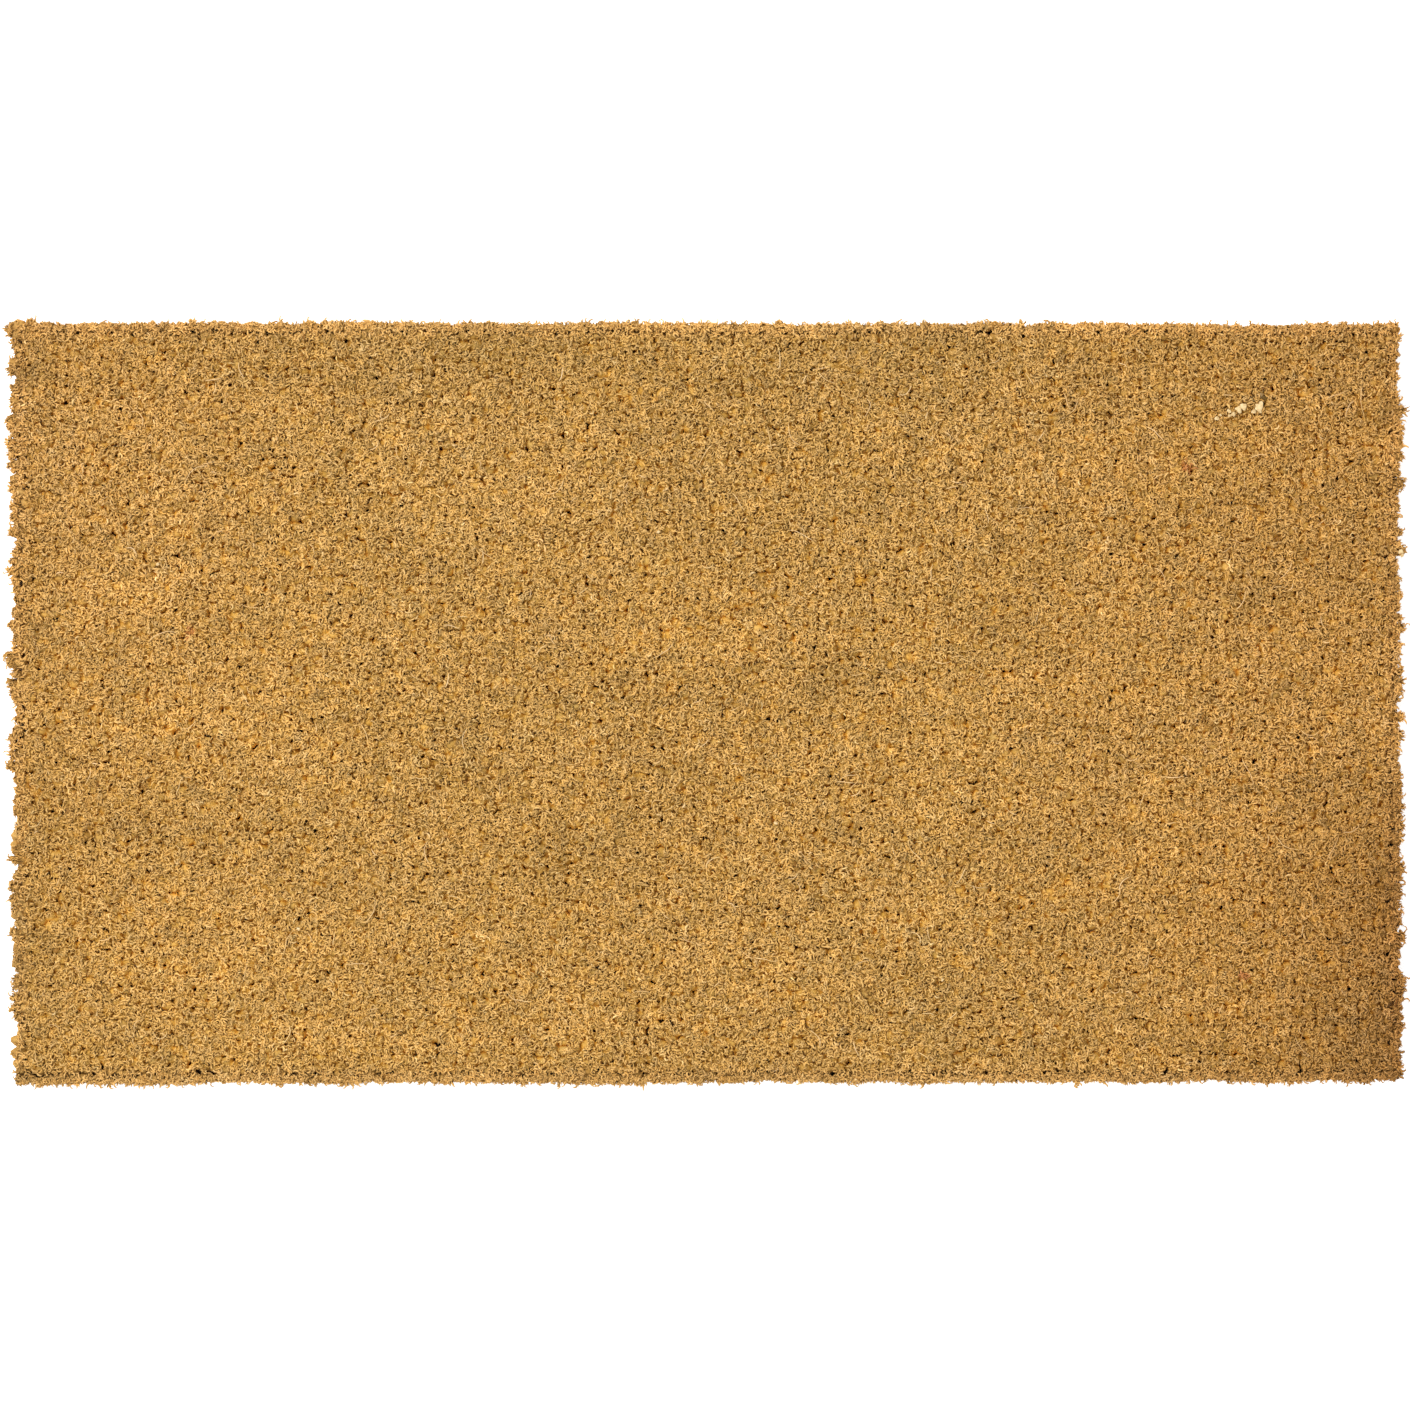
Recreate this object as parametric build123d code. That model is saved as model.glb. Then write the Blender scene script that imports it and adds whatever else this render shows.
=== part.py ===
from build123d import *
import math
import os

# Vinyl-backed coir door mat.
#
# A cast PVC sheet holds the feet of thousands of short cut lengths of coir yarn.
# They stand in straight rows, touch each other at the top and are sheared level, so the top reads as one pile.
# The mat is cut from a wide roll, so it has no binding or border: rows and backing end at the same cut edge.
# The roll was laid a few degrees off square when it was cut, so the rows run slightly askew to the short side
# and the rows beside the two short edges are cut off before they reach the other end.
#
# Frame: millimetres, +X along the long side, +Y along the short side, +Z up out of the pile.
# The origin is the centre of the underside, where the mat rests on the floor.

# ---- driving dimensions -------------------------------------------------
LENGTH = 600.0          # long side of the cut mat, along X
WIDTH = 328.0           # short side of the cut mat, along Y
THICKNESS = 15.0        # underside of the backing to the sheared top of the pile

BACKING = 2.0           # thickness of the PVC sheet
FOOT_DEPTH = 0.8        # how deep the feet of the yarn are set in the PVC

ROW_PITCH = 4.8         # from one row of yarn to the next
ROW_SKEW = 3.7          # degrees between the rows and the short side
ROW_GAP = 0.2           # clear space between two rows where the pile is widest
FOOT_WIDTH = 1.2        # width of a row at the bottom of its foot
SPREAD_Z = 7.0          # height at which the yarn has opened to its full width
SHOULDER = 0.7          # rounding of a row's top edges, as a chamfer: height and half of its width

ROWS_PER_NODE = 5       # rows grouped in one node
SMALLEST = 150.0        # mm3: a corner scrap smaller than this falls off when the mat is cut

# ---- derived dimensions -------------------------------------------------
skew = math.radians(ROW_SKEW)
along = Vector(math.sin(skew), math.cos(skew), 0)       # direction of a row
across = Vector(math.cos(skew), -math.sin(skew), 0)     # from one row to the next
half_top = (ROW_PITCH - ROW_GAP) / 2
half_foot = FOOT_WIDTH / 2
foot_z = BACKING - FOOT_DEPTH
reach = LENGTH / 2 * math.cos(skew) + WIDTH / 2 * math.sin(skew)   # furthest corner, measured across the rows
last = int(reach // ROW_PITCH)                                     # rows are numbered from -last to +last
row_length = WIDTH / math.cos(skew) + LENGTH * math.tan(skew) + 40

# ---- one row of yarn ----------------------------------------------------
# The cross-section is a fan: a narrow foot in the PVC, full width in the pile, and eased top edges.
section = [
    (-half_foot, foot_z),
    (half_foot, foot_z),
    (half_top, SPREAD_Z),
    (half_top, THICKNESS - SHOULDER),
    (half_top - SHOULDER, THICKNESS),
    (-half_top + SHOULDER, THICKNESS),
    (-half_top, THICKNESS - SHOULDER),
    (-half_top, SPREAD_Z),
]

cut_block = Pos(0, 0, THICKNESS / 2) * Box(LENGTH, WIDTH, THICKNESS)


def tuft_row(number):
    """Row `number`, counted from the middle of the mat, cut off at the mat's four edges."""
    start = across * (number * ROW_PITCH) - along * (row_length / 2)
    plane = Plane(origin=start, x_dir=across, z_dir=along)
    up = 1 if plane.y_dir.Z > 0 else -1     # the section's second coordinate is height
    face = plane * make_face(Polyline([(x, up * z) for x, z in section], close=True))
    row = extrude(face, amount=row_length, dir=along)
    piece = row & cut_block
    return [s for s in piece.solids() if s.volume > SMALLEST]


rows = []
for n in range(-last, last + 1):
    rows += tuft_row(n)

# ---- backing ------------------------------------------------------------
# A flat sheet, cast round the feet, so every row sits in a shallow channel of its own shape.
sheet = Pos(0, 0, BACKING / 2) * Box(LENGTH, WIDTH, BACKING)
backing = sheet - rows

# ---- write one file for each node ---------------------------------------
os.makedirs("parts", exist_ok=True)
for old in os.listdir("parts"):
    if old.endswith(".step"):
        os.remove(os.path.join("parts", old))

backing_solids = backing.solids()
assert len(backing_solids) == 1, "the backing is one sheet"
export_step(backing_solids[0], "parts/pvc_backing.step")

groups = [rows[i:i + ROWS_PER_NODE] for i in range(0, len(rows), ROWS_PER_NODE)]
for i, group in enumerate(groups):
    export_step(Compound(group), "parts/tuft_rows_%02d.step" % (i + 1))

slots = sheet.volume - backing.volume
print("rows", len(rows), "nodes", 1 + len(groups))
print("row pitch", ROW_PITCH, "skew", ROW_SKEW, "channels take %.1f cm3" % (slots / 1000))
print("backing", backing_solids[0].bounding_box())
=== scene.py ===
import math

import bpy
import numpy as np
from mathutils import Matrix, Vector, kdtree


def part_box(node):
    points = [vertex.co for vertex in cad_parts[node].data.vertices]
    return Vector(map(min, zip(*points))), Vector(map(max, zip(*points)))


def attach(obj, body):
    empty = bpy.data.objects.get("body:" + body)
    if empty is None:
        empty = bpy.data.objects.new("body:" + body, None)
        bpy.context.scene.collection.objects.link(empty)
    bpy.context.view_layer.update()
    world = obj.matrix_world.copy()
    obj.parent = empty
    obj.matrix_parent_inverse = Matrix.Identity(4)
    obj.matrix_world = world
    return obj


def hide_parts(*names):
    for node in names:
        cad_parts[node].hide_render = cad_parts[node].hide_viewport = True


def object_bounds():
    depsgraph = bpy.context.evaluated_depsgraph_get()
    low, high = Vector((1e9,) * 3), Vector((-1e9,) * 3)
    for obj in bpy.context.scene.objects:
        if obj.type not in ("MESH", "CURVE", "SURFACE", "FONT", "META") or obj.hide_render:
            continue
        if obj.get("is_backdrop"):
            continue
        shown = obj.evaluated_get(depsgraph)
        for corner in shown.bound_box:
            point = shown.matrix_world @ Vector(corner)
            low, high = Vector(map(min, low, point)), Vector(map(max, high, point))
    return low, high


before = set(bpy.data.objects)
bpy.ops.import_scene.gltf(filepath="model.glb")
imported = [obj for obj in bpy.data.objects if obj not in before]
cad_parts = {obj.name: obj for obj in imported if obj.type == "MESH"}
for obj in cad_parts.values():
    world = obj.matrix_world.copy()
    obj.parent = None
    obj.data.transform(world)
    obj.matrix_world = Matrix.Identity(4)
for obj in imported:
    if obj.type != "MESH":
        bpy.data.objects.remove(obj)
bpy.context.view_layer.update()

RNG = np.random.default_rng(620)

# ---------------------------------------------------------------- sizes, in metres
LOW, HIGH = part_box("pvc_backing")
L, W, BACK = HIGH.x - LOW.x, HIGH.y - LOW.y, HIGH.z          # 0.600, 0.328, 0.002
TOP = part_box("tuft_rows_10")[1].z                            # 0.015
PITCH = 0.0048
SKEW = math.radians(3.7)
ROWS_PER_NODE = 5
SPACING = 0.0039                                             # tuft to tuft along a row
ALONG = np.array([math.sin(SKEW), math.cos(SKEW)])
ACROSS = np.array([math.cos(SKEW), -math.sin(SKEW)])
LAST = int((L / 2 * math.cos(SKEW) + W / 2 * math.sin(SKEW)) // PITCH)
MM = 0.001


# ---------------------------------------------------------------- the cut outline
# The mat is cut a hair out of square. These are the four corners' offsets from the true rectangle, in mm.
CORNERS = {"tl": (-0.46, 0.45), "tr": (-0.52, -0.48), "bl": (0.48, -0.76), "br": (0.52, 0.76)}


def out_of_square(p):
    """Moves points (..., 2) of the true rectangle to the cut mat's slightly skewed outline."""
    u = (p[..., 0] / L + 0.5)[..., None]
    v = (p[..., 1] / W + 0.5)[..., None]
    c = {k: np.array(x) * MM for k, x in CORNERS.items()}
    bottom = c["bl"] * (1 - u) + c["br"] * u
    top = c["tl"] * (1 - u) + c["tr"] * u
    return p + bottom * (1 - v) + top * v


def smooth_noise(points, scale, seed, octaves=2):
    """A gentle value noise over points (n, 2), -1 to 1, with features about `scale` metres across."""
    out, amp, total = np.zeros(len(points)), 1.0, 0.0
    for o in range(octaves):
        g = np.random.default_rng(seed + 17 * o)
        n = 256
        table = g.uniform(-1, 1, (n, n))
        q = points / (scale / 2 ** o) + 100.3
        i = np.floor(q).astype(int)
        f = q - i
        f = f * f * (3 - 2 * f)
        a = table[i[:, 0] % n, i[:, 1] % n]
        b = table[(i[:, 0] + 1) % n, i[:, 1] % n]
        c = table[i[:, 0] % n, (i[:, 1] + 1) % n]
        d = table[(i[:, 0] + 1) % n, (i[:, 1] + 1) % n]
        out += amp * ((a * (1 - f[:, 0]) + b * f[:, 0]) * (1 - f[:, 1]) + (c * (1 - f[:, 0]) + d * f[:, 0]) * f[:, 1])
        total += amp
        amp *= 0.5
    return out / total


# ---------------------------------------------------------------- where the tufts stand
def plant():
    """Every tuft: its foot, row, and how far it stands from each cut edge."""
    feet, row_of, ends = [], [], []
    hx, hy = L / 2 + 1.2 * MM, W / 2 - 1.0 * MM      # a row that the knife splits lengthwise leaves half its yarn on the edge
    for k in range(-LAST, LAST + 1):
        c = ACROSS * k * PITCH
        # the stretch of this row's line inside the outline
        lo_t, hi_t = -1.0, 1.0
        for axis, half in ((0, hx), (1, hy)):
            d = ALONG[axis]
            a, b = sorted(((-half - c[axis]) / d, (half - c[axis]) / d))
            lo_t, hi_t = max(lo_t, a), min(hi_t, b)
        if hi_t <= lo_t:
            continue
        # no row starts in step with the one beside it
        lo_t, hi_t = lo_t + RNG.uniform(0, 0.34) * SPACING, hi_t - RNG.uniform(0, 0.34) * SPACING
        n = max(1, int(round((hi_t - lo_t) / SPACING)))
        t = np.linspace(lo_t, hi_t, n + 1) if n > 1 else np.array([(lo_t + hi_t) / 2])
        step = (hi_t - lo_t) / max(n, 1)
        u = np.linspace(0, 1, len(t))
        shift = RNG.uniform(-1.9, 1.9) * MM * np.sin(math.pi * u) ** 0.35 if n > 3 else 0.0
        inner = np.ones(len(t)) * 0.12
        inner[0] = inner[-1] = 0.06
        t = t + RNG.normal(0, 1, len(t)) * inner * step + shift
        side = RNG.normal(0, 0.24 * MM, len(t)) + 0.35 * MM * np.sin(t * 41.0 + k * 0.13)
        p = c[None] + t[:, None] * ALONG[None] + side[:, None] * ACROSS[None]
        feet.append(p)
        row_of.append(np.full(len(t), k))
        ends.append((k, p[0], p[-1]))
    # along the long sides the knife leaves split ends of yarn between one row's last tuft and the next row's
    for (k, b0, t0), (_, b1, t1) in zip(ends, ends[1:]):
        for a, b in ((b0, b1), (t0, t1)):
            if abs(abs(a[1]) - hy) < 2.5 * MM and abs(abs(b[1]) - hy) < 2.5 * MM:
                feet.append([(a + b) / 2 + RNG.uniform(-0.7, 0.7, 2) * MM])
                row_of.append(np.array([k]))
    split = sum(len(x) for x in feet[len(ends):])
    feet, row_of = np.concatenate(feet), np.concatenate(row_of)
    feet[:, 0] = np.clip(feet[:, 0], -L / 2 + 0.7 * MM, L / 2 - 0.7 * MM)
    feet[:, 1] = np.clip(feet[:, 1], -hy - 0.2 * MM, hy + 0.2 * MM)
    return feet, row_of, np.arange(len(feet)) >= len(feet) - split


feet, row_of, split_end = plant()
N = len(feet)
print("tufts", N, "split ends", split_end.sum())

# Free room outwards: tufts near a cut edge have no neighbour there, so they splay over it.
gap = {"left": feet[:, 0] + L / 2, "right": L / 2 - feet[:, 0], "bottom": feet[:, 1] + W / 2, "top": W / 2 - feet[:, 1]}
OUT = {"left": (-1, 0), "right": (1, 0), "bottom": (0, -1), "top": (0, 1)}
# How far the tips of the outermost tufts come past the cut edge, mean and spread, in mm.
REACH = {"left": (1.15, 2.90), "right": (1.10, 1.45), "bottom": (0.72, 0.78), "top": (0.80, 0.70)}
NEAR = {"left": 3.65, "right": 3.65, "bottom": 3.3, "top": 3.3}     # a foot this close to a side, in mm, has no neighbour beyond it
radius = np.clip(RNG.normal(2.42, 0.34, N), 1.7, 3.15) * MM
radius = np.where(split_end, RNG.uniform(1.25, 1.85, N) * MM, radius)
edge_ness = np.zeros(N)
outward = np.zeros((N, 2))
for side in OUT:
    near = np.clip(1 - gap[side] / (6.0 * MM), 0, 1)
    edge_ness = np.maximum(edge_ness, near)
    outward += near[:, None] * np.array(OUT[side])[None]


def pack_tops():
    """Where the tops end up. The yarn ends spread and push each other until they fill the surface, so they lose the regular spacing of their feet."""
    tops = feet + RNG.normal(0, 0.95 * MM, (N, 2))
    pins = []
    for side, (ox, oy) in OUT.items():
        who = np.nonzero(gap[side] < NEAR[side] * MM)[0]
        mean, spread = REACH[side]
        drift = smooth_noise(feet[who], 0.011 if ox else 0.016, 51 + 7 * len(pins), 1)
        out = (mean + spread * (0.42 * RNG.normal(0, 1, len(who)) + 1.15 * drift)) * MM - radius[who]
        axis, sign, half = (0, ox, L / 2) if ox else (1, oy, W / 2)
        pins.append((who, axis, sign * (half + out)))
    for step in range(12):
        for who, axis, value in pins:
            tops[who, axis] = value
        tree = kdtree.KDTree(N)
        for i in range(N):
            tree.insert((tops[i, 0], tops[i, 1], 0.0), i)
        tree.balance()
        push = np.zeros((N, 2))
        for i in range(N):
            x, y = tops[i]
            for co, j, d in tree.find_n((x, y, 0.0), 7):
                want = 1.08 * (radius[i] + radius[j])
                if j != i and d < want:
                    w = 0.42 * (want - d) / max(d, 1e-5)
                    push[i, 0] += (x - co[0]) * w
                    push[i, 1] += (y - co[1]) * w
        tops += push * (0.42 if step < 8 else 0.30)
        away = tops - feet
        far = np.linalg.norm(away, axis=1, keepdims=True)
        tops = feet + away * np.minimum(1.0, 2.6 * MM / np.maximum(far, 1e-9))
    for who, axis, value in pins:
        tops[who, axis] = value
    return tops


lean = pack_tops() - feet

# Single tufts that stand out past the edge: side, distance along the edge from its upper or left end (0 to 1), and reach in mm.
STRAYS = [
    ("left", 0.060, 3.6), ("left", 0.117, 4.4), ("left", 0.132, 3.4), ("left", 0.220, 3.6), ("left", 0.275, 3.4), ("left", 0.327, 3.8),
    ("left", 0.398, 3.2), ("left", 0.487, 3.0), ("left", 0.562, 3.2), ("left", 0.702, 3.0), ("left", 0.800, 3.1), ("left", 0.905, 2.8),
    ("right", 0.110, 3.6), ("right", 0.130, 3.2), ("right", 0.208, 3.8), ("right", 0.297, 3.6), ("right", 0.402, 3.6), ("right", 0.520, 3.0),
    ("right", 0.640, 3.0), ("right", 0.668, 3.0), ("right", 0.722, 2.9), ("right", 0.810, 3.0), ("right", 0.870, 3.0),
    ("top", 0.008, 2.6), ("top", 0.555, 2.4), ("top", 0.130, 2.0), ("top", 0.750, 1.9), ("top", 0.960, 2.0),
    ("bottom", 0.020, 2.2), ("bottom", 0.190, 1.9), ("bottom", 0.610, 1.9), ("bottom", 0.905, 1.9),
]
for side, f, reach in STRAYS:
    if side in ("left", "right"):
        y = W / 2 - f * W
        x = -L / 2 if side == "left" else L / 2
        d = np.hypot(feet[:, 0] - x, (feet[:, 1] - y) * 1.5)
    else:
        x = -L / 2 + f * L
        y = W / 2 if side == "top" else -W / 2
        d = np.hypot((feet[:, 0] - x) * 1.5, feet[:, 1] - y)
    i = int(np.argmin(d))
    ox, oy = OUT[side]
    g = gap[side][i]
    if ox:
        lean[i, 0] = ox * (g + reach * MM - radius[i])
    else:
        lean[i, 1] = oy * (g + reach * MM - radius[i])

height = TOP - np.abs(RNG.normal(0, 0.24 * MM, N)) - 0.45 * MM + 0.25 * MM * smooth_noise(feet, 0.06, 21)
low = (RNG.random(N) < 0.02) & (edge_ness == 0)                                   # tufts that were set a little deep, so their tops leave a pit
height = np.where(low, height - RNG.uniform(0.4, 1.1, N) * MM, height)
lean_len = np.hypot(lean[:, 0], lean[:, 1])
height = height - np.clip(lean_len - 1.6 * MM, 0, None) * 0.40  # a tuft that leans over also drops
height = np.clip(height, 0.009, TOP + 0.35 * MM)


def gaps_between():
    """The widest gaps the tops leave, where a loose end of yarn stands lower than the rest: places (n, 2) and how wide each gap is."""
    tops = feet + lean * 0.80
    tree = kdtree.KDTree(N)
    for i in range(N):
        tree.insert((tops[i, 0], tops[i, 1], 0.0), i)
    tree.balance()
    step = 0.85 * MM
    gx, gy = np.meshgrid(np.arange(-L / 2 + 1.0 * MM, L / 2 - 1.0 * MM, step), np.arange(-W / 2 + 0.8 * MM, W / 2 - 0.8 * MM, step), indexing="ij")
    grid = np.stack([gx, gy], -1).reshape(-1, 2) + RNG.uniform(-0.3, 0.3, (gx.size, 2)) * MM
    far = np.array([min(d - radius[j] for _, j, d in tree.find_n((x, y, 0.0), 4)) for x, y in grid])
    chosen, wide = [], []
    taken = {}
    cell = 3.4 * MM
    for i in np.argsort(-far):
        if far[i] < 0.22 * MM or len(chosen) == 3400:
            break
        x, y = grid[i]
        cx, cy = int(x // cell), int(y // cell)
        near = [q for a in (-1, 0, 1) for b in (-1, 0, 1) for q in taken.get((cx + a, cy + b), ())]
        if any((x - q[0]) ** 2 + (y - q[1]) ** 2 < cell * cell for q in near):
            continue
        taken.setdefault((cx, cy), []).append((x, y))
        chosen.append((x, y))
        wide.append(far[i])
    print("narrowest gap filled", wide[-1])
    return np.array(chosen), np.array(wide)


extra, extra_wide = gaps_between()
M = len(extra)
print("low ends", M)
feet = np.concatenate([feet, extra])
row_of = np.concatenate([row_of, np.clip(np.round(extra @ ACROSS / PITCH), -LAST, LAST).astype(int)])
lean = np.concatenate([lean, RNG.normal(0, 0.3 * MM, (M, 2))])
height = np.concatenate([height, TOP - RNG.uniform(0.65, 1.55, M) * MM])
radius = np.concatenate([radius, np.clip(extra_wide + 1.95 * MM, 2.2 * MM, 3.0 * MM)])
edge_ness = np.concatenate([edge_ness, np.zeros(M)])
outward = np.concatenate([outward, np.zeros((M, 2))])
low_end = np.arange(N + M) >= N                               # a loose end of yarn that stands lower than the rest
N += M

tone = np.clip(RNG.normal(0, 1, N), -2.4, 2.4)                # light or dark tuft
cast = RNG.random(N)                                          # a few tufts are reddish, greyish or dark
turn = RNG.uniform(0.8, 2.2, N)                               # twist left in the yarn, in radians
node_of = np.minimum((row_of + LAST) // ROWS_PER_NODE, 25)

# Odd tufts: place in mm from the mat's centre, reach in mm, kind.
MARKS = [
    (241.0, 134.0, 0.5, "grey"),
    (210.0, 101.0, 2.2, "red"), (297.5, 95.0, 2.2, "husk"),
    # the husk tuft at 157.5, 42.5 is painted shade: a dark tuft put where the pile has a deep pit
    (157.5, 42.5, 2.4, "husk"), (134.5, 174.5, 2.4, "husk"), (-280.0, -20.0, 3.0, "husk"), (-272.0, -26.0, 2.6, "husk"),
    (-292.0, 88.0, 3.0, "husk"), (-60.0, -70.0, 2.2, "husk"), (70.0, -128.0, 2.2, "husk"), (-150.0, 118.0, 2.2, "husk"),
    (232.0, -118.0, 2.4, "red"), (-222.0, 30.0, 2.2, "red"), (15.0, 118.0, 2.2, "husk"), (292.0, -92.0, 3.2, "husk"),
]
for x, y, r_, kind in MARKS:
    away = np.hypot(feet[:, 0] + lean[:, 0] - x * MM, feet[:, 1] + lean[:, 1] - y * MM)
    hit = away < max(r_ * MM, away.min() * 1.001)
    if kind == "husk":
        cast[hit] = 0.0
        tone[hit] = -1.4
    else:
        tone[hit] = 5.0 if kind == "grey" else -5.0


# ---------------------------------------------------------------- mesh building
def unit(v):
    return v / np.maximum(np.linalg.norm(v, axis=-1, keepdims=True), 1e-12)


def tubes(path, rad, sides):
    """Closed tubes along path (m, k, 3) with radii rad (m, k); the last point of each is a tip.
    Returns vertices (m, v, 3), triangles (t, 3) for one tube, and each vertex's place along the tube, 0 to 1."""
    m, k, _ = path.shape
    tan = np.empty_like(path)
    tan[:, 1:-1] = path[:, 2:] - path[:, :-2]
    tan[:, 0] = path[:, 1] - path[:, 0]
    tan[:, -1] = path[:, -1] - path[:, -2]
    tan = unit(tan)
    ref = np.where(np.abs(tan[:, 0, 2:3]) < 0.9, np.array([[0, 0, 1.0]]), np.array([[1.0, 0, 0]]))
    n1 = unit(np.cross(tan[:, 0], ref))
    rings = []
    ang = np.arange(sides) * 2 * math.pi / sides
    for j in range(k - 1):
        n1 = unit(n1 - (n1 * tan[:, j]).sum(-1, keepdims=True) * tan[:, j])
        n2 = np.cross(tan[:, j], n1)
        ring = path[:, j, None] + rad[:, j, None, None] * (np.cos(ang)[None, :, None] * n1[:, None] + np.sin(ang)[None, :, None] * n2[:, None])
        rings.append(ring)
    verts = np.concatenate(rings + [path[:, -1:]], axis=1)
    tris = []
    for j in range(k - 2):
        for s in range(sides):
            a, b = j * sides + s, j * sides + (s + 1) % sides
            c, d = a + sides, b + sides
            tris += [(a, b, d), (a, d, c)]
    top, base = (k - 2) * sides, (k - 1) * sides
    for s in range(sides):
        tris.append((top + s, top + (s + 1) % sides, base))
    for s in range(1, sides - 1):
        tris.append((0, s + 1, s))
    place = np.concatenate([np.full(sides, j / (k - 1)) for j in range(k - 1)] + [[1.0]])
    return verts, np.array(tris), place


def cell_uv(count, first, total_cells, verts_per, place, around, cells):
    """UVs that give each tube a small cell of its own in a square map: across for around, up for place."""
    cols = cells
    index = first + np.arange(count)
    cx, cy = index % cols, index // cols
    rows = int(math.ceil(total_cells / cols))
    u = (cx[:, None] + 0.22 + 0.56 * around[None]) / cols
    v = (cy[:, None] + 0.14 + 0.72 * place[None]) / rows
    return np.stack([u, v], -1)


def make_mesh(name, parts, material, smooth=True):
    """One mesh from parts: (verts (m, v, 3), tris (t, 3), fibre (m, v, 3) attribute, place (v), around (v))."""
    total_tubes = sum(len(p[0]) for p in parts)
    cols = int(math.ceil(math.sqrt(total_tubes * 1.5)))
    V, T, A, UV = [], [], [], []
    base = first = 0
    for verts, tris, attr, place, around in parts:
        m, v, _ = verts.shape
        V.append(verts.reshape(-1, 3))
        T.append((tris[None] + (base + np.arange(m) * v)[:, None, None]).reshape(-1, 3))
        A.append(attr.reshape(-1, 3))
        UV.append(cell_uv(m, first, total_tubes, v, place, around, cols).reshape(-1, 2))
        base += m * v
        first += m
    V, T, A, UV = (np.concatenate(x) for x in (V, T, A, UV))
    me = bpy.data.meshes.new(name)
    me.vertices.add(len(V))
    me.vertices.foreach_set("co", V.astype(np.float32).ravel())
    me.loops.add(len(T) * 3)
    me.loops.foreach_set("vertex_index", T.astype(np.int32).ravel())
    me.polygons.add(len(T))
    me.polygons.foreach_set("loop_start", (np.arange(len(T)) * 3).astype(np.int32))
    me.polygons.foreach_set("use_smooth", np.full(len(T), smooth))
    me.update(calc_edges=True)
    at = me.attributes.new("fibre", "FLOAT_VECTOR", "POINT")
    at.data.foreach_set("vector", A.astype(np.float32).ravel())
    uv = me.uv_layers.new(name="OFBake")
    uv.data.foreach_set("uv", UV[T.ravel()].astype(np.float32).ravel())
    me.materials.append(material)
    ob = bpy.data.objects.new(name, me)
    bpy.context.scene.collection.objects.link(ob)
    return ob


# ---------------------------------------------------------------- materials
def nodes_of(name):
    mat = bpy.data.materials.new(name)
    mat.use_nodes = True
    nt = mat.node_tree
    return mat, nt, nt.nodes["Principled BSDF"]


def add(nt, kind, **values):
    n = nt.nodes.new(kind)
    for k, v in values.items():
        setattr(n, k, v)
    return n


def mix_colour(nt, blend, factor, a, b):
    n = add(nt, "ShaderNodeMix", data_type="RGBA", blend_type=blend)
    for sock, value in ((n.inputs[0], factor), (n.inputs[6], a), (n.inputs[7], b)):
        if isinstance(value, bpy.types.NodeSocket):
            nt.links.new(value, sock)
        else:
            sock.default_value = value
    return n.outputs[2]


def maths(nt, op, a, b=None, c=None, clamp=False):
    n = add(nt, "ShaderNodeMath", operation=op, use_clamp=clamp)
    for i, value in enumerate((a, b, c)):
        if value is None:
            continue
        if isinstance(value, bpy.types.NodeSocket):
            nt.links.new(value, n.inputs[i])
        else:
            n.inputs[i].default_value = value
    return n.outputs[0]


def ramp(nt, fac, stops, mode="LINEAR"):
    n = add(nt, "ShaderNodeValToRGB")
    n.color_ramp.interpolation = mode
    els = n.color_ramp.elements
    while len(els) < len(stops):
        els.new(0.5)
    for e, (pos, col) in zip(els, stops):
        e.position = pos
        e.color = (*col, 1.0)
    nt.links.new(fac, n.inputs[0])
    return n.outputs[0]


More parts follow.
